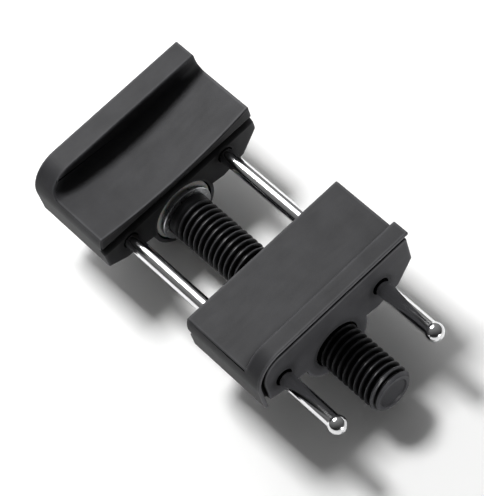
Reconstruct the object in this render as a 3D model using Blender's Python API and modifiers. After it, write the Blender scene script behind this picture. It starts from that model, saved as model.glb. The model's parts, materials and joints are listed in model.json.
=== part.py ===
"""Honing guide: two moulded jaws on two guide pins, closed by a screw, carried by two rollers.

Frame: +X along the guide pins towards the moving jaw, +Y towards the chisel's handle, +Z up.
The origin is at the bottom centre of the whole guide, which stands on its rollers.
"""

import math

import bmesh
import bpy
from mathutils import Matrix, Vector

MM = 0.001

# Driving dimensions, in millimetres. X is counted from the middle of the gap between the jaws.
GAP = 25.6                  # between the jaws' inner faces, for a 25.4 mm chisel
JAW_WIDTH = 20.8            # one jaw, from its inner face to the lip of its flange
JAW_LENGTH = 41.0
FLANGE_WIDTH = {"left_jaw": 5.5, "right_jaw": 4.0}
FLANGE_FILLET = {"left_jaw": 2.4, "right_jaw": 0.6}     # between the plate and the flange
PLATE_SAG = {"left_jaw": 2.0, "right_jaw": 0.0}         # finger hollow along the plate
FLANGE_RISE = 3.8           # flange top above the plate
CORNER_RADIUS = 7.0         # rounded front end of the flange
LIP_HEIGHT = 0.8            # lip round the outer face
LIP_OVERHANG = 1.2
CHANNEL_HEIGHT = 3.2        # channel between the lip and the outer face, along the top
CHANNEL_WIDTH = 1.2         # the same, down the front end
CHANNEL_DEPTH = 1.0
PLATE_ABOVE_AXIS = 13.0
PIN_BELOW_PLATE = 7.6
PIN_SPACING = 26.0
PIN_RADIUS = 1.65
BALL_RADIUS = 2.0
PIN_REACH = 13.6            # ball centre beyond the moving jaw's lip
AXIS_Y = -1.0               # screw and rollers, from the middle of the jaws' length

ROLLER_RADIUS = 8.8
ROLLER_WALL = 2.0
CHEEK = 2.8                 # walls each side of a roller
SHOULDER = 1.4              # outer skin that a sleeve stops against
LOBE_RADIUS = 8.1           # bottom of the cheeks
SLEEVE_RADIUS = 6.5
SCREW_RADIUS = 5.0
SCREW_REACH = 14.6          # screw end beyond the moving jaw's lip
KNOB_RADIUS = 6.5
KNOB_REACH = 6.0            # knob face beyond the fixed jaw's lip
TAIL_RADIUS = 4.0           # screw's end inside the knob
CROSS_PIN_RADIUS = 0.8
WASHER = 0.5                # roller side washers

GROOVE_TOP = 3.3            # blade groove in the inner faces, below the plate
GROOVE_BOTTOM = 5.5
GROOVE_DEPTH = 1.1

FIT = 0.15                  # radial gap of pressed pieces
RUN = 0.3                   # gap of moving pieces
STEPS = 40                  # facets round a turned piece
OVER = 3.0                  # how far a cutter stands out of what it cuts

# Places that follow from them
INNER_X = GAP / 2
LIP_X = INNER_X + JAW_WIDTH
FACE_X = LIP_X - LIP_OVERHANG
POCKET_X = (INNER_X + CHEEK, FACE_X - CHEEK)
HALF_LENGTH = JAW_LENGTH / 2
AXIS_Z = ROLLER_RADIUS
PLATE_Z = AXIS_Z + PLATE_ABOVE_AXIS
FLANGE_Z = PLATE_Z + FLANGE_RISE
PIN_Z = PLATE_Z - PIN_BELOW_PLATE
PIN_Y = {"front": AXIS_Y - PIN_SPACING / 2, "rear": AXIS_Y + PIN_SPACING / 2}
KNOB_X = -(LIP_X + KNOB_REACH)
KNOB_SEAT = -(FACE_X + 1.3)                       # the knob's inner face, and the pins' tails
BALL_X = LIP_X + PIN_REACH
GAP_X = -(BALL_X + BALL_RADIUS + KNOB_X) / 2      # puts the origin midway along the whole guide

# The captive end of the screw, in the fixed jaw
COUNTERBORE = (INNER_X + 1.3, SLEEVE_RADIUS + 0.7)    # floor and radius
RING_X = (-INNER_X + 0.1, -INNER_X + 1.1)
RING_RADII = (4.6, 6.8)
RING_GROOVE_RADIUS = 4.3

PLASTIC_BLACK = ("moulded_plastic", (0.030, 0.030, 0.032), 0.50, 0.0)
SCREW_BLACK = ("screw_plastic", (0.022, 0.022, 0.024), 0.45, 0.0)
STEEL = ("bright_steel", (0.72, 0.72, 0.73), 0.18, 1.0)
ZINC = ("zinc_steel", (0.55, 0.56, 0.58), 0.35, 1.0)
BRASS = ("sleeve_brass", (0.62, 0.46, 0.20), 0.32, 1.0)
NYLON = ("washer_nylon", (0.70, 0.69, 0.65), 0.55, 0.0)


def clear_scene():
    for obj in list(bpy.data.objects):
        bpy.data.objects.remove(obj, do_unlink=True)


def new_collection(name):
    collection = bpy.data.collections.new(name)
    bpy.context.scene.collection.children.link(collection)
    return collection


def material(finish):
    name, color, roughness, metallic = finish
    mat = bpy.data.materials.get(name)
    if mat is None:
        mat = bpy.data.materials.new(name)
        mat.use_nodes = True
        shader = mat.node_tree.nodes["Principled BSDF"]
        shader.inputs["Base Color"].default_value = (*color, 1.0)
        shader.inputs["Roughness"].default_value = roughness
        shader.inputs["Metallic"].default_value = metallic
    return mat


def place(obj, collection, finish=None):
    collection.objects.link(obj)
    if finish:
        obj.data.materials.append(material(finish))
    return obj


def turned(name, profile, at, collection, finish=None, steps=STEPS, closed=False):
    """Turns (x, radius) stations about a line along X through at; closed makes a tube of them."""
    mesh = bpy.data.meshes.new(name)
    stations = [Vector((radius * MM, 0, x * MM)) for x, radius in reversed(profile)]
    edges = [(i, i + 1) for i in range(len(stations) - 1)]
    if closed:
        edges.append((len(stations) - 1, 0))
    mesh.from_pydata(stations, edges, [])
    obj = place(bpy.data.objects.new(name, mesh), collection, finish)
    obj.location = Vector(at) * MM
    obj.rotation_euler = (0, math.pi / 2, 0)
    screw = obj.modifiers.new("turn", "SCREW")
    screw.steps = screw.render_steps = steps
    screw.use_merge_vertices = True
    screw.merge_threshold = 0.00001
    screw.use_smooth_shade = True
    return obj


def tube(name, x_low, x_high, r_in, r_out, y, z, collection, finish, edge=0.2):
    """A plain ring or sleeve along X with chamfered outer edges."""
    profile = [
        (x_low, r_in),
        (x_low, r_out - edge),
        (x_low + edge, r_out),
        (x_high - edge, r_out),
        (x_high, r_out - edge),
        (x_high, r_in),
    ]
    return turned(name, profile, (GAP_X, y, z), collection, finish, closed=True)


def arc(center, radius, start_deg, end_deg, count):
    """Points (y, z) along an arc."""
    step = (end_deg - start_deg) / count
    angles = [math.radians(start_deg + step * i) for i in range(count + 1)]
    return [(center[0] + radius * math.cos(a), center[1] + radius * math.sin(a)) for a in angles]


def extruded(name, outline, x_low, x_high, collection, finish=None):
    """An outline of (y, z) points, extruded along X."""
    curve = bpy.data.curves.new(name, "CURVE")
    curve.dimensions = "2D"
    curve.fill_mode = "BOTH"
    curve.extrude = (x_high - x_low) / 2 * MM
    spline = curve.splines.new("POLY")
    spline.points.add(len(outline) - 1)
    for point, (y, z) in zip(spline.points, outline):
        point.co = (y * MM, z * MM, 0, 1)
    spline.use_cyclic_u = True
    source = bpy.data.objects.new(name + "_outline", curve)
    bpy.context.scene.collection.objects.link(source)
    turn = Matrix(((0, 0, 1), (1, 0, 0), (0, 1, 0))).to_4x4()
    source.matrix_world = Matrix.Translation(((GAP_X + (x_low + x_high) / 2) * MM, 0, 0)) @ turn
    bpy.context.view_layer.update()
    evaluated = source.evaluated_get(bpy.context.evaluated_depsgraph_get())
    mesh = bpy.data.meshes.new_from_object(evaluated)
    mesh.name = name
    bm = bmesh.new()
    bm.from_mesh(mesh)
    bmesh.ops.remove_doubles(bm, verts=bm.verts, dist=0.000001)
    bmesh.ops.dissolve_limit(bm, angle_limit=math.radians(0.1), verts=bm.verts, edges=bm.edges)
    bmesh.ops.recalc_face_normals(bm, faces=bm.faces)
    bm.to_mesh(mesh)
    bm.free()
    obj = place(bpy.data.objects.new(name, mesh), collection, finish)
    obj.matrix_world = source.matrix_world.copy()
    bpy.data.objects.remove(source, do_unlink=True)
    return obj


def cutter_look(obj):
    obj.display_type = "WIRE"
    obj.hide_render = True
    return obj


def drill(name, x_low, x_high, radius, y, z, collection, steps=STEPS):
    """A cylinder along X, to cut a bore."""
    profile = [(x_low, 0), (x_low, radius), (x_high, radius), (x_high, 0)]
    return cutter_look(turned(name, profile, (GAP_X, y, z), collection, steps=steps))


def cut(obj, cutter):
    boolean = obj.modifiers.new("cut_" + cutter.name, "BOOLEAN")
    boolean.operation = "DIFFERENCE"
    boolean.solver = "EXACT"
    boolean.object = cutter


def span(side, near, far):
    """A stretch of X on one side of the gap, lowest first; side is -1 for the fixed jaw."""
    return tuple(sorted((side * near, side * far)))


def jaw_outline():
    """Side view of a jaw: rounded front corner, slanted underside, round lobe round the roller's axis."""
    center = (-HALF_LENGTH + CORNER_RADIUS, FLANGE_Z - CORNER_RADIUS)
    front = arc(center, CORNER_RADIUS, 90, 180, 10)
    lobe = arc((AXIS_Y, AXIS_Z), LOBE_RADIUS, 180, 360, 20)
    underside_front = [(-HALF_LENGTH, PLATE_Z - 9.8), (-HALF_LENGTH + 4.3, PLATE_Z - 11.8)]
    underside_rear = [
        (AXIS_Y + LOBE_RADIUS + 3.0, AXIS_Z - 0.6),
        (HALF_LENGTH - 4.5, PLATE_Z - 12.5),
        (HALF_LENGTH, PLATE_Z - 7.9),
        (HALF_LENGTH, FLANGE_Z),
    ]
    return front + underside_front + lobe + underside_rear


def lofted(name, sections, cutters):
    """A closed cutter through flat sections of (x, y, z) corners, all with as many corners."""
    bm = bmesh.new()
    rings = [[bm.verts.new(Vector(corner) * MM) for corner in section] for section in sections]
    for near, far in zip(rings, rings[1:]):
        for i in range(len(near)):
            bm.faces.new([near[i - 1], near[i], far[i], far[i - 1]])
    bm.faces.new(rings[0])
    bm.faces.new(rings[-1])
    bmesh.ops.recalc_face_normals(bm, faces=bm.faces)
    mesh = bpy.data.meshes.new(name)
    bm.to_mesh(mesh)
    bm.free()
    return cutter_look(place(bpy.data.objects.new(name, mesh), cutters))


def plate_cutter(name, side, cutters):
    """Clears the space above a jaw's plate, up to the flange, with a round fillet at the flange's foot."""
    flange_x = LIP_X - FLANGE_WIDTH[name]
    fillet = FLANGE_FILLET[name]
    foot = arc((flange_x - fillet, fillet), fillet, 270, 360, 8)
    mouth = INNER_X - OVER
    count = 16
    stations = [(-HALF_LENGTH - OVER, PLATE_Z)]
    for i in range(count + 1):
        y = -HALF_LENGTH + JAW_LENGTH * i / count
        stations.append((y, PLATE_Z - PLATE_SAG[name] * (1 - (y / HALF_LENGTH) ** 2)))
    stations.append((HALF_LENGTH + OVER, PLATE_Z))
    sections = []
    for y, floor in stations:
        corners = [(mouth, floor)] + [(x, floor + height) for x, height in foot]
        corners += [(flange_x, FLANGE_Z + OVER), (mouth, FLANGE_Z + OVER)]
        sections.append([(GAP_X + side * x, y, z) for x, z in corners])
    return lofted(name + "_plate_cutter", sections, cutters)


def edge_inside(top, front):
    """The flange's outline moved in from its top and its front end, from the rear to below."""
    radius = CORNER_RADIUS - front
    corner = arc((-HALF_LENGTH + CORNER_RADIUS, FLANGE_Z - top - radius), radius, 90, 180, 10)
    return [(HALF_LENGTH + OVER, FLANGE_Z - top)] + corner + [(-HALF_LENGTH + front, -OVER)]


def jaw(name, side, parts, cutters):
    """One moulded jaw with its plate, flange, outer face, blade groove, roller pocket and bores."""
    low, high = span(side, INNER_X, LIP_X)
    obj = extruded(name, jaw_outline(), low, high, parts, PLASTIC_BLACK)
    cut(obj, plate_cutter(name, side, cutters))

    lip = edge_inside(LIP_HEIGHT, LIP_HEIGHT)
    channel = lip + edge_inside(LIP_HEIGHT + CHANNEL_HEIGHT, LIP_HEIGHT + CHANNEL_WIDTH)[::-1]
    low, high = span(side, FACE_X - CHANNEL_DEPTH, LIP_X + OVER)
    cut(obj, cutter_look(extruded(name + "_channel_cutter", channel, low, high, cutters)))
    face = edge_inside(LIP_HEIGHT + CHANNEL_HEIGHT / 2, LIP_HEIGHT + CHANNEL_WIDTH / 2)
    face += [(HALF_LENGTH + OVER, -OVER)]
    low, high = span(side, FACE_X, LIP_X + OVER)
    cut(obj, cutter_look(extruded(name + "_face_cutter", face, low, high, cutters)))

    pocket_radius = ROLLER_RADIUS + 2 * RUN
    pocket = arc((AXIS_Y, AXIS_Z), pocket_radius, 180, 0, 16)
    pocket += [(AXIS_Y + pocket_radius, -OVER), (AXIS_Y - pocket_radius, -OVER)]
    low, high = span(side, *POCKET_X)
    cut(obj, cutter_look(extruded(name + "_pocket_cutter", pocket, low, high, cutters)))

    cut(obj, groove_cutter(name + "_groove_cutter", side, cutters))

    cut(obj, sleeve_drill(name + "_sleeve_drill", side, cutters))
    low, high = span(side, INNER_X - OVER, LIP_X + OVER)
    pin_bore = PIN_RADIUS + (FIT if side < 0 else RUN)
    for which, y in PIN_Y.items():
        cut(obj, drill(f"{name}_{which}_pin_drill", low, high, pin_bore, y, PIN_Z, cutters, 24))
    return obj


def sleeve_drill(name, side, cutters):
    """The stepped bore: counterbore, sleeve seat up to its shoulder, screw hole."""
    floor, radius = COUNTERBORE
    shoulder = FACE_X - SHOULDER
    seat = SLEEVE_RADIUS + FIT
    hole = SCREW_RADIUS + RUN
    mouth = INNER_X - OVER
    stations = [(shoulder, seat), (shoulder, hole), (LIP_X + OVER, hole), (LIP_X + OVER, 0)]
    if side < 0:
        stations = [(mouth, 0), (mouth, radius), (floor, radius), (floor, seat)] + stations
        stations = [(-x, r) for x, r in reversed(stations)]
    else:
        stations = [(mouth, 0), (mouth, seat)] + stations
    return cutter_look(turned(name, stations, (GAP_X, AXIS_Y, AXIS_Z), cutters))


def groove_cutter(name, side, cutters):
    """A three-sided bar along Y that cuts the blade groove into a jaw's inner face."""
    middle = PLATE_Z - (GROOVE_TOP + GROOVE_BOTTOM) / 2
    slope = (GROOVE_BOTTOM - GROOVE_TOP) / 2 / GROOVE_DEPTH
    apex = INNER_X + GROOVE_DEPTH
    mouth = INNER_X - OVER
    half = slope * (apex - mouth)
    corners = [(mouth, middle + half), (mouth, middle - half), (apex, middle)]
    ends = (-HALF_LENGTH - OVER, HALF_LENGTH + OVER)
    sections = [[(GAP_X + side * x, y, z) for x, z in corners] for y in ends]
    return lofted(name, sections, cutters)


def guide_pin(which, parts):
    """A rod with a ball end, pushed through the fixed jaw and running in the moving one."""
    neck = math.sqrt(BALL_RADIUS ** 2 - PIN_RADIUS ** 2)
    start = math.degrees(math.atan2(PIN_RADIUS, -neck))
    ball = []
    for i in range(11):
        angle = math.radians(start * (1 - i / 10))
        ball.append((BALL_X + BALL_RADIUS * math.cos(angle), BALL_RADIUS * math.sin(angle)))
    ball[-1] = (BALL_X + BALL_RADIUS, 0)
    profile = [(KNOB_SEAT, 0), (KNOB_SEAT, PIN_RADIUS - 0.4), (KNOB_SEAT + 0.4, PIN_RADIUS)] + ball
    at = (GAP_X, PIN_Y[which], PIN_Z)
    return turned(which + "_guide_pin", profile, at, parts, STEEL, steps=24)


def pin_lock_washer(which, parts):
    x_high = -(FACE_X + 0.2)
    radii = (PIN_RADIUS + FIT, PIN_RADIUS + 2.2)
    name = which + "_pin_lock_washer"
    return tube(name, x_high - 0.6, x_high, *radii, PIN_Y[which], PIN_Z, parts, ZINC)


def clamp_screw(parts, cutters):
    """Tail in the knob, plain shank in the fixed jaw, ring groove, then the threaded stretch."""
    shoulder = KNOB_SEAT + 0.4
    low, high = RING_X
    end = LIP_X + SCREW_REACH
    profile = [
        (KNOB_X + 1.3, 0),
        (KNOB_X + 1.3, TAIL_RADIUS),
        (shoulder, TAIL_RADIUS),
        (shoulder, SCREW_RADIUS),
        (low - 0.15, SCREW_RADIUS),
        (low - 0.15, RING_GROOVE_RADIUS),
        (high + 0.15, RING_GROOVE_RADIUS),
        (high + 0.15, SCREW_RADIUS),
        (end - 0.9, SCREW_RADIUS),
        (end, SCREW_RADIUS - 0.9),
        (end, 0),
    ]
    obj = turned("clamp_screw", profile, (GAP_X, AXIS_Y, AXIS_Z), parts, SCREW_BLACK)
    cut(obj, cross_drill("screw_cross_drill", cutters))
    return obj


def cross_drill(name, cutters):
    """Cuts the cross pin's hole, straight up through the knob and the screw's tail."""
    radius = CROSS_PIN_RADIUS + FIT
    return cutter_look(upright(name, radius, KNOB_RADIUS + OVER, 20, cutters))


def upright(name, radius, half, steps, collection, finish=None):
    """A round bar along Z through the knob's middle."""
    bm = bmesh.new()
    bmesh.ops.create_cone(
        bm, cap_ends=True, segments=steps, radius1=radius * MM, radius2=radius * MM, depth=2 * half * MM
    )
    mesh = bpy.data.meshes.new(name)
    bm.to_mesh(mesh)
    bm.free()
    obj = place(bpy.data.objects.new(name, mesh), collection, finish)
    obj.location = Vector((GAP_X + KNOB_X + 3.2, AXIS_Y, AXIS_Z)) * MM
    return obj


def clamp_knob(parts, cutters):
    """Round knob with a blind bore for the screw's tail."""
    chamfer = 0.6
    profile = [
        (KNOB_X, 0),
        (KNOB_X, KNOB_RADIUS - chamfer),
        (KNOB_X + chamfer, KNOB_RADIUS),
        (KNOB_SEAT - chamfer, KNOB_RADIUS),
        (KNOB_SEAT, KNOB_RADIUS - chamfer),
        (KNOB_SEAT, TAIL_RADIUS + FIT),
        (KNOB_X + 1.0, TAIL_RADIUS + FIT),
        (KNOB_X + 1.0, 0),
    ]
    obj = turned("clamp_knob", profile, (GAP_X, AXIS_Y, AXIS_Z), parts, ZINC)
    cut(obj, cross_drill("knob_cross_drill", cutters))
    return obj


def retaining_ring(parts, cutters):
    """A snap ring, open at the bottom, in the screw's groove."""
    obj = tube("screw_retaining_ring", *RING_X, *RING_RADII, AXIS_Y, AXIS_Z, parts, ZINC)
    notch = [(-1.5, -3), (1.5, -3), (1.5, 3), (-1.5, 3)]
    bottom = AXIS_Z - (RING_RADII[0] + RING_RADII[1]) / 2
    outline = [(AXIS_Y + y, bottom + z) for y, z in notch]
    low, high = RING_X
    cut(obj, cutter_look(extruded("ring_notch_cutter", outline, low - OVER, high + OVER, cutters)))
    return obj


def roller_set(side, label, parts):
    """A roller, its two side washers and the hollow axle that carries it."""
    low, high = POCKET_X
    gap = 0.25
    bore = SLEEVE_RADIUS + RUN
    washer_radius = ROLLER_RADIUS - 1.2
    inset = 2 * gap + WASHER
    x = span(side, low + inset, high - inset)
    roller_bore = ROLLER_RADIUS - ROLLER_WALL
    tube(label + "_roller", *x, roller_bore, ROLLER_RADIUS, AXIS_Y, AXIS_Z, parts, STEEL, 0.5)
    x = span(side, low + gap, low + gap + WASHER)
    tube(label + "_roller_inner_washer", *x, bore, washer_radius, AXIS_Y, AXIS_Z, parts, NYLON, 0.1)
    x = span(side, high - gap - WASHER, high - gap)
    tube(label + "_roller_outer_washer", *x, bore, washer_radius, AXIS_Y, AXIS_Z, parts, NYLON, 0.1)


def sleeves(parts):
    """Hollow axles: a plain one in the fixed jaw, and one that is also the nut in the moving jaw."""
    bore = SCREW_RADIUS + RUN
    place_at = (AXIS_Y, AXIS_Z, parts, BRASS)
    stop = FACE_X - SHOULDER - 0.2
    x = span(-1, COUNTERBORE[0] + 0.2, stop)
    tube("left_roller_sleeve", *x, bore, SLEEVE_RADIUS, *place_at)
    x = span(1, INNER_X + 0.2, stop)
    tube("threaded_sleeve", *x, bore, SLEEVE_RADIUS, *place_at)


def thrust_washers(parts):
    radii = (SCREW_RADIUS + RUN, COUNTERBORE[1] - 0.3)
    x_high = -(FACE_X + 0.2)
    tube("knob_thrust_washer", x_high - 0.8, x_high, *radii, AXIS_Y, AXIS_Z, parts, NYLON)
    x_low = -(COUNTERBORE[0] - 0.2)
    tube("inner_thrust_washer", x_low, x_low + 0.8, *radii, AXIS_Y, AXIS_Z, parts, NYLON)


def build():
    clear_scene()
    parts = new_collection("honing_guide")
    cutters = new_collection("cutters")
    jaw("left_jaw", -1, parts, cutters)
    jaw("right_jaw", 1, parts, cutters)
    for which in PIN_Y:
        guide_pin(which, parts)
        pin_lock_washer(which, parts)
    clamp_screw(parts, cutters)
    clamp_knob(parts, cutters)
    upright("knob_cross_pin", CROSS_PIN_RADIUS, KNOB_RADIUS - 0.2, 20, parts, ZINC)
    retaining_ring(parts, cutters)
    thrust_washers(parts)
    sleeves(parts)
    roller_set(-1, "left", parts)
    roller_set(1, "right", parts)


build()
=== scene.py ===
"""Looks for the honing guide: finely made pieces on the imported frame, procedural materials, studio light."""

import json
import math

import bmesh
import bpy
from mathutils import Matrix, Vector

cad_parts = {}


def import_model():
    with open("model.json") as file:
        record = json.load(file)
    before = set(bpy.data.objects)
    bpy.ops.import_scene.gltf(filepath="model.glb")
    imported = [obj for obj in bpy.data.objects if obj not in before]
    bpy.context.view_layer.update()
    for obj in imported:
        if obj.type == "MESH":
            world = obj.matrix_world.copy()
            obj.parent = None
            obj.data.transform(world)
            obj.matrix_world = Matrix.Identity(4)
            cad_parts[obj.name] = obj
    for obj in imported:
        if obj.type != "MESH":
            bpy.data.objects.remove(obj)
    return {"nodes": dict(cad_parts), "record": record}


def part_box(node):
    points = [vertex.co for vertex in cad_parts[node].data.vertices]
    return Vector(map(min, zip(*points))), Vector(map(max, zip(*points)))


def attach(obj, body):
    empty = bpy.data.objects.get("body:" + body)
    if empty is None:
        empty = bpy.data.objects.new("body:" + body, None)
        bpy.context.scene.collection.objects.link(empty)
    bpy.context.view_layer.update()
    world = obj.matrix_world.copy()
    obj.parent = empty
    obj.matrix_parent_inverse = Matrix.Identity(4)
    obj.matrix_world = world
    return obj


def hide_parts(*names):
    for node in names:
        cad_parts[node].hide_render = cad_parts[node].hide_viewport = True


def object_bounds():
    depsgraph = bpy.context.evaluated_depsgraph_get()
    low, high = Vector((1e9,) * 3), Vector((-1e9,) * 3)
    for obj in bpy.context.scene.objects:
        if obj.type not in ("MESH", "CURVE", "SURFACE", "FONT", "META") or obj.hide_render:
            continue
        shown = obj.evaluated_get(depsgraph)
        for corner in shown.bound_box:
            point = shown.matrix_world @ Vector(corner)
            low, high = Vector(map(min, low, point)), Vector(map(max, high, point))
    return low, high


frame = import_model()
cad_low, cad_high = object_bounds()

MM = 0.001


# ---------------------------------------------------------------- node materials

class Shader:
    """A Principled material and short ways to add the nodes that vary it."""

    def __init__(self, name, roughness, metallic=0.0, **inputs):
        self.material = bpy.data.materials.new(name)
        self.material.use_nodes = True
        self.tree = self.material.node_tree
        self.bsdf = self.tree.nodes["Principled BSDF"]
        self.bsdf.inputs["Metallic"].default_value = metallic
        self.bsdf.inputs["Roughness"].default_value = roughness
        for key, value in inputs.items():
            self.bsdf.inputs[key.replace("_", " ")].default_value = value
        self.place = self.node("ShaderNodeTexCoord").outputs["Object"]

    def node(self, kind, **settings):
        made = self.tree.nodes.new(kind)
        for key, value in settings.items():
            setattr(made, key, value)
        return made

    def link(self, source, target):
        self.tree.links.new(source, target)

    def stretched(self, scale):
        """The object's coordinates times scale, for grain that runs one way."""
        mapping = self.node("ShaderNodeMapping")
        mapping.inputs["Scale"].default_value = scale
        self.link(self.place, mapping.inputs["Vector"])
        return mapping.outputs["Vector"]

    def noise(self, size_mm=None, detail=3.0, rough=0.55, vector=None):
        """Noise whose blotches are about size_mm across, or as fine as a stretched vector makes them."""
        made = self.node("ShaderNodeTexNoise")
        made.inputs["Scale"].default_value = 1.0 / (size_mm * MM) if vector is None else 1.0
        made.inputs["Detail"].default_value = detail
        made.inputs["Roughness"].default_value = rough
        self.link(vector or self.place, made.inputs["Vector"])
        return made.outputs["Fac"]

    def ranged(self, source, low, high, to_low, to_high):
        """source, with low..high mapped to to_low..to_high and held there outside that range."""
        made = self.node("ShaderNodeMapRange")
        for key, value in zip(("From Min", "From Max", "To Min", "To Max"), (low, high, to_low, to_high)):
            made.inputs[key].default_value = value
        self.link(source, made.inputs["Value"])
        return made.outputs["Result"]

    def math(self, operation, a, b):
        """a and b combined; each is a number or a socket."""
        made = self.node("ShaderNodeMath", operation=operation)
        for slot, value in zip(made.inputs, (a, b)):
            if isinstance(value, (int, float)):
                slot.default_value = value
            else:
                self.link(value, slot)
        return made.outputs[0]

    def mixed(self, factor, a, b):
        """A colour between a and b; each is an RGB triple or a socket."""
        made = self.node("ShaderNodeMix", data_type="RGBA")
        colours = (made.inputs[6], made.inputs[7])
        for slot, value in zip(colours, (a, b)):
            if isinstance(value, tuple):
                slot.default_value = (*value, 1.0)
            else:
                self.link(value, slot)
        self.link(factor, made.inputs["Factor"])
        return made.outputs[2]

    def bump(self, height, depth_mm, strength=1.0, below=None):
        """A normal bumped by height, on top of another bumped normal if one is given."""
        made = self.node("ShaderNodeBump")
        made.inputs["Strength"].default_value = strength
        made.inputs["Distance"].default_value = depth_mm * MM
        self.link(height, made.inputs["Height"])
        if below is not None:
            self.link(below, made.inputs["Normal"])
        return made.outputs["Normal"]

    def occlusion(self, reach_mm, inside):
        """How much of a half ball of this radius is free, outside the surface or in the body below it."""
        made = self.node("ShaderNodeAmbientOcclusion", samples=8, inside=inside)
        made.inputs["Distance"].default_value = reach_mm * MM
        return made.outputs["AO"]

    def edge_mask(self, reach_mm):
        """1 on outside edges, where the piece is thin below its surface, 0 on flat stretches."""
        return self.ranged(self.occlusion(reach_mm, inside=True), 0.97, 0.75, 0.0, 1.0)

    def openness(self, reach_mm):
        """1 on open stretches, 0 deep in a channel or bore."""
        return self.ranged(self.occlusion(reach_mm, inside=False), 0.55, 0.95, 0.0, 1.0)

    def set(self, name, source):
        self.link(source, self.bsdf.inputs[name])


WORN_AND_HIGHLIT_REACH_MM = 0.75        # how near an outside edge the plastic is rubbed and painted lighter as a highlight
PAINTED_SHADE_REACH_MM = 2.6      # how near other surfaces have to be for a spot to get painted shade
# near-black colour of the painted shade laid into channels, corners and bores
PAINTED_SHADE_COLOUR = (0.004, 0.004, 0.004)
PLASTIC_SPECULAR = 0.18     # a low gloss: open plates don't mirror the lamps


def moulded_plastic(name, colour, rough, grain_mm, grain_depth_mm):
    """Black moulded plastic: spark-eroded grain, faint flow marks, rubbed edges lightened partly as wear and
    partly as a painted highlight, and painted shade with less gloss in crevices.
    """
    made = Shader(name, rough, IOR=1.47)
    mottle = made.noise(6.0, detail=4.0)
    scuff = made.noise(vector=made.stretched((900.0, 120.0, 500.0)), detail=5.0, rough=0.7)
    edge = made.edge_mask(WORN_AND_HIGHLIT_REACH_MM)
    pale = tuple(c * 1.7 + 0.004 for c in colour)
    # Edges lighter, partly as rubbed wear and partly as a painted highlight.
    worn_and_highlit = tuple(c * 2.2 + 0.010 for c in colour)
    base = made.mixed(made.ranged(mottle, 0.35, 0.7, 0.0, 0.45), colour, pale)
    base = made.mixed(made.math("MULTIPLY", edge, made.ranged(mottle, 0.3, 0.7, 0.5, 1.0)), base, worn_and_highlit)
    # Painted shade: near-black colour and weaker gloss wherever other surfaces are near.
    painted_shade_openness = made.openness(PAINTED_SHADE_REACH_MM)
    made.set("Base Color", made.mixed(painted_shade_openness, PAINTED_SHADE_COLOUR, base))
    made.set("Specular IOR Level", made.math("MULTIPLY", painted_shade_openness, PLASTIC_SPECULAR))
    spread = made.ranged(scuff, 0.35, 0.75, rough + 0.02, rough - 0.03)
    made.set("Roughness", made.math("SUBTRACT", spread, made.math("MULTIPLY", edge, 0.06)))
    grain = made.noise(grain_mm, detail=2.0, rough=0.5)
    flow = made.noise(9.0, detail=1.0)
    made.set("Normal", made.bump(grain, grain_depth_mm, 0.8, made.bump(flow, 0.12, 0.25)))
    return made.material


def drawn_steel(name, colour, rough):
    """Polished rod: faint draw lines along X and small smudges."""
    made = Shader(name, rough, metallic=1.0)
    lines = made.noise(vector=made.stretched((60.0, 9000.0, 9000.0)), detail=3.0)
    smudge = made.noise(3.5, detail=4.0)
    dark = tuple(c * 0.86 for c in colour)
    made.set("Base Color", made.mixed(made.ranged(smudge, 0.4, 0.75, 0.0, 0.6), colour, dark))
    drawn = made.ranged(lines, 0.3, 0.7, 0.0, 0.05)
    smudged = made.ranged(smudge, 0.4, 0.8, 0.0, 0.08)
    made.set("Roughness", made.math("ADD", made.math("ADD", drawn, smudged), rough))
    made.set("Normal", made.bump(lines, 0.004, 0.5))
    return made.material


def turned_metal(name, colour, rough):
    """Turned metal: fine tool rings round the X axis, a little tarnish."""
    made = Shader(name, rough, metallic=1.0)
    rings = made.noise(vector=made.stretched((14000.0, 60.0, 60.0)), detail=4.0, rough=0.65)
    tarnish = made.noise(2.2, detail=5.0)
    dark = tuple(c * 0.72 for c in colour)
    made.set("Base Color", made.mixed(made.ranged(tarnish, 0.42, 0.8, 0.0, 0.7), colour, dark))
    ringed = made.ranged(rings, 0.3, 0.7, -0.05, 0.08)
    tarnished = made.ranged(tarnish, 0.4, 0.8, 0.0, 0.12)
    made.set("Roughness", made.math("ADD", made.math("ADD", ringed, tarnished), rough))
    made.set("Normal", made.bump(rings, 0.006, 0.6))
    return made.material


def plated_steel(name, colour, rough):
    """Zinc plate: small soft spangle and handling marks."""
    made = Shader(name, rough, metallic=1.0)
    spangle = made.noise(0.7, detail=3.0)
    dark = tuple(c * 0.78 for c in colour)
    made.set("Base Color", made.mixed(made.ranged(spangle, 0.35, 0.7, 0.0, 1.0), colour, dark))
    made.set("Roughness", made.ranged(spangle, 0.3, 0.75, rough - 0.06, rough + 0.12))
    made.set("Normal", made.bump(spangle, 0.01, 0.5))
    return made.material


def nylon(name, colour, rough):
    """Natural nylon: slightly waxy, a little light passes in."""
    made = Shader(name, rough, Subsurface_Weight=0.25, Subsurface_Scale=0.0012)
    cloud = made.noise(1.8, detail=4.0)
    dark = tuple(c * 0.85 for c in colour)
    made.set("Base Color", made.mixed(cloud, colour, dark))
    made.set("Roughness", made.ranged(cloud, 0.3, 0.7, rough - 0.05, rough + 0.08))
    made.set("Normal", made.bump(made.noise(0.25), 0.01, 0.5))
    return made.material


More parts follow.
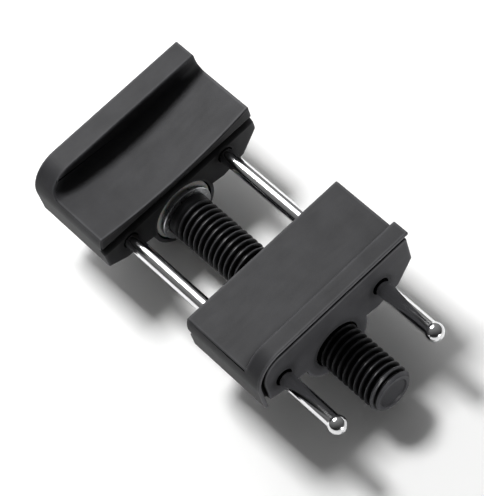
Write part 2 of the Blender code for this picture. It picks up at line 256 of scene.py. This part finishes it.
FINISHES = {        # by the record's material slots: the colour, its roughness, and the plastics' grain in mm
    "jaw_plastic": moulded_plastic("jaw_plastic", (0.025, 0.025, 0.027), 0.56, 0.28, 0.022),
    "screw_plastic": moulded_plastic("screw_plastic", (0.020, 0.020, 0.022), 0.40, 0.40, 0.010),
    "pin_chrome": drawn_steel("pin_chrome", (0.86, 0.86, 0.87), 0.07),
    "knob_metal": turned_metal("knob_metal", (0.60, 0.60, 0.61), 0.30),
    "roller_steel": turned_metal("roller_steel", (0.66, 0.66, 0.67), 0.22),
    "sleeve_brass": turned_metal("sleeve_brass", (0.66, 0.48, 0.22), 0.26),
    "zinc_steel": plated_steel("zinc_steel", (0.62, 0.63, 0.65), 0.30),
    "washer_nylon": nylon("washer_nylon", (0.74, 0.73, 0.68), 0.45),
}
SLOT_OF = {row["node"]: row["material_slot"] for row in frame["record"]["subparts"]}
BODY_OF = {n: body for body, nodes in frame["record"]["behaviour"]["bodies"].items() for n in nodes}


# ---------------------------------------------------------------- making pieces

ON_AXIS = 1e-7              # a radius below this is a point on the axis


def stand_for(obj, node):
    """obj takes a CAD node's place, body, material slot and finish."""
    slot = SLOT_OF[node]
    obj.data.materials.append(FINISHES[slot])
    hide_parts(node)
    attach(obj, BODY_OF[node])


def new_piece(name, bm, sharp_deg=35.0):
    """An object from a bmesh, shaded smooth except over edges sharper than sharp_deg."""
    bmesh.ops.recalc_face_normals(bm, faces=bm.faces)
    mesh = bpy.data.meshes.new(name)
    bm.to_mesh(mesh)
    bm.free()
    mesh.shade_smooth()
    mesh.set_sharp_from_angle(angle=math.radians(sharp_deg))
    obj = bpy.data.objects.new(name, mesh)
    bpy.context.scene.collection.objects.link(obj)
    return obj


def rounded(profile, radius, parts=4):
    """The closed profile of (x, r) points with its corners rounded, each over less than half its sides."""
    most = 0.45
    made = []
    for i, point in enumerate(profile):
        corner = Vector(point)
        before = Vector(profile[i - 1]) - corner
        after = Vector(profile[(i + 1) % len(profile)]) - corner
        reach = min(radius, before.length * most, after.length * most)
        start, end = corner + before.normalized() * reach, corner + after.normalized() * reach
        for k in range(parts + 1):
            t = k / parts
            made.append(tuple(start * (1 - t) ** 2 + corner * 2 * t * (1 - t) + end * t ** 2))
    return made


def lathe(profile, center, steps, closed=False, radius_at=None):
    """A bmesh turned about the line along X through center (y, z). radius_at(x, r, angle) may shape it."""
    bm = bmesh.new()
    rings = []
    for x, r in profile:
        if r < ON_AXIS:
            rings.append([bm.verts.new((x, center[0], center[1]))])
            continue
        ring = []
        for i in range(steps):
            angle = 2 * math.pi * i / steps
            length = radius_at(x, r, angle) if radius_at else r
            y = center[0] + length * math.cos(angle)
            z = center[1] + length * math.sin(angle)
            ring.append(bm.verts.new((x, y, z)))
        rings.append(ring)
    pairs = list(zip(rings, rings[1:]))
    if closed:
        pairs.append((rings[-1], rings[0]))
    for a, b in pairs:
        for i in range(steps):
            j = (i + 1) % steps
            corners = [a[i % len(a)], a[j % len(a)], b[j % len(b)], b[i % len(b)]]
            unique = list(dict.fromkeys(corners))
            if len(unique) > 2:
                bm.faces.new(unique)
    return bm


def axis_of(node):
    """The (y, z) of the line along X through the middle of a node."""
    low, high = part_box(node)
    middle = (low + high) / 2
    return middle.y, middle.z


TURNED_GROOVE_DEPTH = 0.12 * MM
TURNED_GROOVE_HALF_WIDTH = 0.35 * MM


def ring_piece(node, bore, edge, steps=96, grooves=()):
    """A ring or sleeve, as big as its CAD node, its edges rounded; grooves are parts of its length."""
    low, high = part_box(node)
    outer = (high.y - low.y) / 2
    profile = [(low.x, bore), (low.x, outer), (high.x, outer), (high.x, bore)]
    outside = []
    for part in grooves:
        x = low.x + (high.x - low.x) * part
        half = TURNED_GROOVE_HALF_WIDTH
        outside += [(x - half, outer), (x, outer - TURNED_GROOVE_DEPTH), (x + half, outer)]
    profile = profile[:2] + outside + profile[2:]
    bm = lathe(rounded(profile, edge), axis_of(node), steps, closed=True)
    stand_for(new_piece(node + "_turned", bm), node)


# ---------------------------------------------------------------- jaws

PIN_LINES = [axis_of(node) for node in ("front_pin_lock_washer", "rear_pin_lock_washer")]
SCREW_LINE = axis_of("clamp_knob")
PIN_BORE_REACH = 2.6 * MM               # edges within these distances of a line belong to its bore
POCKET_REACH = 10.0 * MM
FLANGE_WALL_X = {"left_jaw": -32.9 * MM, "right_jaw": 24.8 * MM}
FLANGE_TOP_BAND = 0.7 * MM
SLIVER = 0.04 * MM                      # corners of the CAD mesh closer than this become one
SAME_PLACE = 0.01 * MM
FLAT_DEG = 0.4                          # CAD faces that meet flatter than this become one
CORNER_DEG = 24                         # edges sharper than this are rounded
FLANGE_EDGE = 0.6 * MM                  # widths of the rounded edges
MOULDED_EDGE = 0.32 * MM
BORE_EDGE = 0.08 * MM


def near_a_bore(edge):
    """True on the edges of the bores and inside the roller pocket, which are only broken lightly."""
    def distance(line):
        return max(math.hypot(v.co.y - line[0], v.co.z - line[1]) for v in edge.verts)
    return any(distance(line) < PIN_BORE_REACH for line in PIN_LINES) or distance(SCREW_LINE) < POCKET_REACH


def on_flange_edge(edge, wall_x):
    """True near the flange's top on the edge of its wall, the upright plane at wall_x."""
    lowest = cad_high.z - FLANGE_TOP_BAND
    return all(abs(v.co.x - wall_x) < SAME_PLACE and v.co.z > lowest for v in edge.verts)


def edge_width(edge, node):
    """How wide an edge of the jaw is rounded."""
    if near_a_bore(edge):
        return BORE_EDGE
    return FLANGE_EDGE if on_flange_edge(edge, FLANGE_WALL_X[node]) else MOULDED_EDGE


def jaw_piece(node):
    """The moulded jaw: the CAD jaw's shape with every moulded edge rounded, most along its flange."""
    bm = bmesh.new()
    bm.from_mesh(frame["nodes"][node].data)
    bmesh.ops.remove_doubles(bm, verts=bm.verts, dist=SLIVER)
    bmesh.ops.dissolve_limit(bm, angle_limit=math.radians(FLAT_DEG), verts=bm.verts, edges=bm.edges)
    bmesh.ops.dissolve_degenerate(bm, dist=SAME_PLACE, edges=bm.edges)
    layer = bm.edges.layers.float.new("bevel_weight_edge")
    for edge in bm.edges:
        if len(edge.link_faces) == 2 and edge.calc_face_angle() > math.radians(CORNER_DEG):
            edge[layer] = edge_width(edge, node) / FLANGE_EDGE
    obj = new_piece(node + "_moulded", bm, 180.0)
    bevel = obj.modifiers.new("moulded_edges", "BEVEL")
    bevel.limit_method = "WEIGHT"
    bevel.width = FLANGE_EDGE
    bevel.segments = 3
    bevel.use_clamp_overlap = False
    weighted = obj.modifiers.new("weighted_normals", "WEIGHTED_NORMAL")
    weighted.mode = "FACE_AREA"
    weighted.weight = 60
    stand_for(obj, node)


jaw_piece("left_jaw")
jaw_piece("right_jaw")


# ---------------------------------------------------------------- guide pins

BALL_RADIUS = 2.0 * MM
ROD_RADIUS = 1.65 * MM


def guide_pin(node):
    """A polished rod with a ball end, its tail chamfered."""
    low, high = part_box(node)
    chamfer = 0.35 * MM
    ball_x = high.x - BALL_RADIUS
    neck = math.asin(ROD_RADIUS / BALL_RADIUS)
    profile = [(low.x, 0), (low.x, ROD_RADIUS - chamfer), (low.x + chamfer, ROD_RADIUS)]
    steps = 20
    for i in range(steps + 1):
        angle = (math.pi - neck) * (1 - i / steps)
        radius = BALL_RADIUS * math.sin(angle) if i < steps else 0.0
        profile.append((ball_x + BALL_RADIUS * math.cos(angle), radius))
    bm = lathe(profile, axis_of(node), 56)
    stand_for(new_piece(node + "_polished", bm), node)


guide_pin("front_guide_pin")
guide_pin("rear_guide_pin")


# ---------------------------------------------------------------- clamp screw

THREAD_PITCH = 1.5 * MM
THREAD_DEPTH = 0.85 * MM
CREST = 0.18                # parts of half a pitch: the flat crest, and the flank beside it
FLANK = 0.60
SCREW_RADIUS = 5.0 * MM
TAIL_RADIUS = 4.0 * MM      # where the knob sits
RING_SEAT_RADIUS = 4.3 * MM
CORE_RADIUS = 3.4 * MM      # of the flat end
SAME = 1e-6                 # lengths closer than this are equal


def thread_drop(x, angle):
    """How far the right-hand thread lies below its crest: flat crests and roots, straight flanks."""
    phase = (x / THREAD_PITCH - angle / (2 * math.pi)) % 1.0
    from_crest = abs(phase - 0.5) * 2
    return THREAD_DEPTH * min(1.0, max(0.0, (from_crest - CREST) / FLANK))


def clamp_screw():
    """The spindle: tail, plain shank, ring groove, and a right-hand thread cut to the end."""
    node = "clamp_screw"
    low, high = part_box(node)
    ring_low, ring_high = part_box("screw_retaining_ring")
    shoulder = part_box("clamp_knob")[1].x + 0.4 * MM
    ring_play = 0.15 * MM
    groove = (ring_low.x - ring_play, ring_high.x + ring_play)
    thread_start = groove[1] + 1.2 * MM
    broken = 0.2 * MM
    profile = [(low.x, 0), (low.x, TAIL_RADIUS - broken), (low.x + broken, TAIL_RADIUS)]
    profile += [(shoulder, TAIL_RADIUS), (shoulder, SCREW_RADIUS - broken)]
    profile += [(shoulder + broken, SCREW_RADIUS), (groove[0], SCREW_RADIUS)]
    profile += [(groove[0], RING_SEAT_RADIUS), (groove[1], RING_SEAT_RADIUS), (groove[1], SCREW_RADIUS)]
    rows_per_turn = 12
    rows = round((high.x - thread_start) / THREAD_PITCH * rows_per_turn)
    for i in range(rows + 1):
        profile.append((thread_start + (high.x - thread_start) * i / rows, SCREW_RADIUS))
    dish = 0.25 * MM
    profile += [(high.x, CORE_RADIUS), (high.x - dish, CORE_RADIUS - 0.3 * MM), (high.x - dish, 0)]
    chamfer = 0.9 * MM
    runout = 1.5 * MM

    def shape(x, r, angle):
        if r < SCREW_RADIUS - SAME or x < thread_start - SAME:
            return r
        begin = min(1.0, (x - thread_start) / runout)
        end = SCREW_RADIUS - max(0.0, x - (high.x - chamfer))
        return min(SCREW_RADIUS - thread_drop(x, angle) * begin, end)

    bm = lathe(profile, SCREW_LINE, 72, radius_at=shape)
    stand_for(new_piece("clamp_screw_threaded", bm, 30.0), node)


clamp_screw()


# ---------------------------------------------------------------- knob and its pin

def clamp_knob():
    """A knurled knob: diamond knurl between two chamfers, a turned hollow in its face."""
    node = "clamp_knob"
    low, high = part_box(node)
    outer = (high.y - low.y) / 2
    seat = 4.15 * MM
    seat_floor = low.x + 1.0 * MM
    chamfer = 0.7 * MM
    band = outer - 0.02 * MM            # the plain bands beside the knurl lie this little bit lower
    teeth = 30
    depth = 0.32 * MM
    knurl = (low.x + chamfer + 0.3 * MM, high.x - chamfer - 0.3 * MM)
    pitch = 2 * math.pi * outer / teeth
    points_per_tooth = 8
    rows = round((knurl[1] - knurl[0]) / pitch * points_per_tooth)
    hollow = low.x + 0.45 * MM
    profile = [(hollow, 0), (hollow, 3.2 * MM), (low.x, 3.9 * MM)]
    profile += [(low.x, outer - chamfer), (low.x + chamfer, band)]
    profile += [(knurl[0] + (knurl[1] - knurl[0]) * i / rows, outer) for i in range(rows + 1)]
    profile += [(high.x - chamfer, band), (high.x, outer - chamfer), (high.x, seat)]
    profile += [(seat_floor, seat), (seat_floor, 0)]

    def shape(x, r, angle):
        if r < outer - SAME:
            return r
        turn = teeth * angle / (2 * math.pi)
        along = (x - knurl[0]) / pitch
        ridges = [abs(2 * ((turn + s * along) % 1.0) - 1) for s in (1, -1)]
        return r - depth * max(ridges)

    bm = lathe(profile, SCREW_LINE, teeth * points_per_tooth, radius_at=shape)
    stand_for(new_piece("clamp_knob_knurled", bm, 28.0), node)


clamp_knob()


def cross_pin():
    """A spring pin with domed ends."""
    node = "knob_cross_pin"
    low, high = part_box(node)
    middle = (low + high) / 2
    radius = (high.x - low.x) / 2
    half = (high.z - low.z) / 2
    dome = 0.3 * MM
    profile = [(-half, 0), (-half, radius * 0.6), (-half + dome, radius)]
    profile += [(half - dome, radius), (half, radius * 0.6), (half, 0)]
    bm = lathe(profile, (0, 0), 32)
    upright = Matrix.Translation(middle) @ Matrix.Rotation(-math.pi / 2, 4, "Y")
    bmesh.ops.transform(bm, matrix=upright, verts=bm.verts)
    stand_for(new_piece("knob_cross_pin_rod", bm), node)


cross_pin()


# ---------------------------------------------------------------- rings, washers, sleeves, rollers

def flat_ring(node, center, outline_at, edge):
    """A flat stamped ring: outline_at(angle) gives its inner and outer radius, or None at a gap."""
    low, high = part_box(node)
    steps = 180
    bm = bmesh.new()
    sections = []
    for i in range(steps):
        angle = 2 * math.pi * i / steps
        radii = outline_at(angle)
        if radii is None:
            sections.append(None)
            continue
        inner, outer = radii
        loop = [
            (low.x, inner + edge), (low.x, outer - edge), (low.x + edge, outer), (high.x - edge, outer),
            (high.x, outer - edge), (high.x, inner + edge), (high.x - edge, inner), (low.x + edge, inner),
        ]
        cos, sin = math.cos(angle), math.sin(angle)
        sections.append([bm.verts.new((x, center[0] + r * cos, center[1] + r * sin)) for x, r in loop])
    for i in range(steps):
        a, b = sections[i], sections[(i + 1) % steps]
        if a and b:
            for k in range(len(a)):
                m = (k + 1) % len(a)
                bm.faces.new([a[k], a[m], b[m], b[k]])
        elif a or b:
            bm.faces.new(a or b)
    stand_for(new_piece(node + "_stamped", bm), node)


def snap_ring_outline(angle):
    """Open at the bottom, with lugs beside the gap."""
    half_gap, lug_end = math.radians(16), math.radians(40)
    inner, outer, lug_height = 4.6 * MM, 6.3 * MM, 0.5 * MM
    from_bottom = abs((angle + math.pi / 2 + math.pi) % (2 * math.pi) - math.pi)
    if from_bottom < half_gap:
        return None
    lug = 0.0 if from_bottom > lug_end else lug_height
    return inner + lug * 0.2, outer + lug


def lock_washer_outline(angle):
    """A push-on lock washer: five teeth bite the pin, with slots between them."""
    teeth, tooth_share = 5, 0.62
    tooth_radius, slot_radius, outer = 1.77 * MM, 2.35 * MM, 3.85 * MM
    from_middle = abs(((angle * teeth / (2 * math.pi)) % 1.0) - 0.5) * 2
    return tooth_radius if from_middle < tooth_share else slot_radius, outer


flat_ring("screw_retaining_ring", SCREW_LINE, snap_ring_outline, 0.12 * MM)
for washer in ("front_pin_lock_washer", "rear_pin_lock_washer"):
    flat_ring(washer, axis_of(washer), lock_washer_outline, 0.08 * MM)

SCREW_BORE = 5.3 * MM       # of what the screw passes through
ROLLER_BORE = 6.8 * MM      # of what turns or sits on a sleeve
for washer in ("knob_thrust_washer", "inner_thrust_washer"):
    ring_piece(washer, SCREW_BORE, 0.15 * MM)
for side in ("left", "right"):
    ring_piece(side + "_roller", ROLLER_BORE, 0.5 * MM, 128, grooves=(0.08, 0.92))
    ring_piece(side + "_roller_inner_washer", ROLLER_BORE, 0.1 * MM)
    ring_piece(side + "_roller_outer_washer", ROLLER_BORE, 0.1 * MM)
for sleeve in ("left_roller_sleeve", "threaded_sleeve"):
    ring_piece(sleeve, SCREW_BORE, 0.25 * MM)


# ---------------------------------------------------------------- floor, light, camera

FLOOR_COLOUR = (0.93, 0.93, 0.925)
FLOOR_SIDE = 6.0
CENTER = (cad_low + cad_high) / 2


def floor():
    """A plain pale floor under the rollers."""
    bpy.ops.mesh.primitive_plane_add(size=FLOOR_SIDE, location=(0, 0, 0))
    plane = bpy.context.object
    plane.name = "studio_floor"
    made = Shader("studio_floor", 0.6)
    cloud = made.noise(60.0, detail=2.0)
    pale = tuple(c * 0.985 for c in FLOOR_COLOUR)
    made.set("Base Color", made.mixed(cloud, FLOOR_COLOUR, pale))
    plane.data.materials.append(made.material)


def softbox(name, direction, distance, size, watts):
    """A rectangular area light, aimed at the guide's middle from distance metres away."""
    data = bpy.data.lights.new(name, "AREA")
    data.shape = "RECTANGLE"
    data.size, data.size_y = size
    data.energy = watts
    light = bpy.data.objects.new(name, data)
    bpy.context.scene.collection.objects.link(light)
    toward = Vector(direction).normalized()
    light.location = CENTER + toward * distance
    light.rotation_euler = (-toward).to_track_quat("-Z", "Y").to_euler()


def world(direction, weak, strong):
    """A white studio, strong towards direction and weak on the far side of it."""
    far_side = -0.3             # the cosine to direction from which on it is weak
    made = bpy.data.worlds.new("studio")
    made.use_nodes = True
    tree = made.node_tree
    background = tree.nodes["Background"]
    background.inputs["Color"].default_value = (1.0, 1.0, 1.0, 1.0)
    place = tree.nodes.new("ShaderNodeTexCoord")
    dot = tree.nodes.new("ShaderNodeVectorMath")
    dot.operation = "DOT_PRODUCT"
    dot.inputs[1].default_value = Vector(direction).normalized()
    spread = tree.nodes.new("ShaderNodeMapRange")
    for key, value in (("From Min", far_side), ("From Max", 1.0), ("To Min", weak), ("To Max", strong)):
        spread.inputs[key].default_value = value
    tree.links.new(place.outputs["Generated"], dot.inputs[0])
    tree.links.new(dot.outputs["Value"], spread.inputs["Value"])
    tree.links.new(spread.outputs["Result"], background.inputs["Strength"])
    bpy.context.scene.world = made


PHOTO_AZIMUTH = 48.2        # degrees of the camera round the bench
PHOTO_ELEVATION = 51.0      # and above it
GUIDE_LEAN = 15.0           # degrees that the photographed guide leans back on its rollers
LENS = 180.0                # focal length and sensor width in mm
SENSOR = 36.0
FIELD = 0.098               # metres across the frame, at the guide


def camera():
    """A long lens at the photograph's angle to the guide; it leans as the guide does there."""
    azimuth, elevation = math.radians(PHOTO_AZIMUTH), math.radians(PHOTO_ELEVATION)
    back = Vector((
        math.sin(azimuth) * math.cos(elevation),
        -math.cos(azimuth) * math.cos(elevation),
        math.sin(elevation),
    ))
    lean = Matrix.Rotation(-math.radians(GUIDE_LEAN), 3, "X")
    turn = lean @ (-back).to_track_quat("-Z", "Y").to_matrix()
    data = bpy.data.cameras.new("camera")
    data.lens = LENS
    data.sensor_width = SENSOR
    data.clip_start, data.clip_end = 0.01, 20.0
    obj = bpy.data.objects.new("camera", data)
    bpy.context.scene.collection.objects.link(obj)
    obj.rotation_mode = "QUATERNION"
    obj.rotation_quaternion = turn.to_quaternion()
    obj.location = CENTER + (lean @ back) * (FIELD * LENS / SENSOR)
    bpy.context.scene.camera = obj


floor()
world((-0.6, 0.4, 0.7), 0.02, 0.24)
softbox("key", (-0.6, 0.05, 1.0), 0.45, (0.12, 0.12), 2.1)
softbox("top", (-0.9, 0.3, 1.0), 0.9, (0.6, 0.6), 2.1)
softbox("rim", (-0.93, 0.2, 0.36), 0.8, (0.3, 0.3), 1.0)
softbox("kicker", (1.0, 0.02, 0.0), 0.9, (0.16, 0.02), 7.0)     # low: the moving jaw shades the fixed one
camera()
bpy.context.scene.view_settings.view_transform = "Standard"
